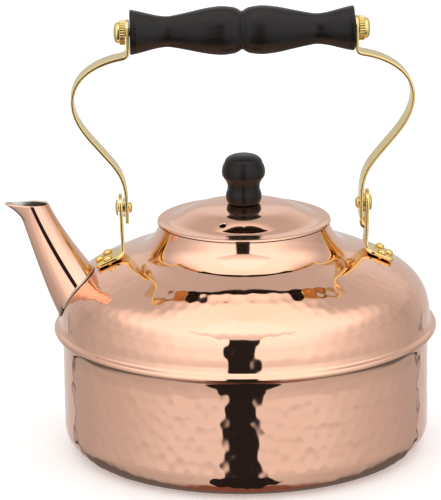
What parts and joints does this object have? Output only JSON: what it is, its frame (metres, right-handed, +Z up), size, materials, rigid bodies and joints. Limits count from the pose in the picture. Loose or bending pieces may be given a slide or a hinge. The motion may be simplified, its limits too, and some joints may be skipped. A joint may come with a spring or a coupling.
{
  "type": "kettle",
  "caption": "Flat-bottomed copper kettle with a short spout, a riveted swinging bail with a turned wooden grip, and a lift-off lid with a turned wooden knob.",
  "frame": {"origin": "centre of the flat bottom, on the body's axis", "axes": "+Z up, spout towards -X, bail hinge along X"},
  "size_m": [0.2037, 0.1818, 0.2128],
  "materials": {
    "hammered_copper": "planished and polished copper, tinned inside",
    "polished_copper": "polished copper, tinned inside",
    "brass": "polished brass",
    "black_wood": "turned hardwood, stained black, satin lacquer",
    "steel": "plain"
  },
  "bodies": {
    "kettle": {"lower_body": "hammered_copper", "upper_body": "hammered_copper", "spout": "polished_copper", "spout_lug": "brass", "rear_lug": "brass", "spout_foot_rivet_1": "brass", "spout_foot_rivet_2": "brass", "spout_foot_rivet_3": "brass", "rear_foot_rivet_1": "brass", "rear_foot_rivet_2": "brass", "rear_foot_rivet_3": "brass", "spout_pivot_rivet": "brass", "rear_pivot_rivet": "brass", "spout_pivot_washer": "brass", "rear_pivot_washer": "brass"},
    "bail": {"spout_strap": "brass", "rear_strap": "brass", "grip": "black_wood", "grip_rod": "steel", "spout_cap_nut": "brass", "rear_cap_nut": "brass"},
    "lid": {"lid": "polished_copper", "lid_skirt": "polished_copper", "lid_knob": "black_wood", "knob_screw": "steel", "knob_washer": "steel"}
  },
  "joints": [
    {"name": "bail_swing", "type": "hinge", "parent": "kettle", "child": "bail", "pos_m": [0, 0, 0.1174], "axis": [1, 0, 0], "range_deg": [-20, 20]},
    {"name": "lid_lift", "type": "slide", "parent": "kettle", "child": "lid", "axis": [0, 0, 1], "range_m": [0, 0.04]}
  ]
}
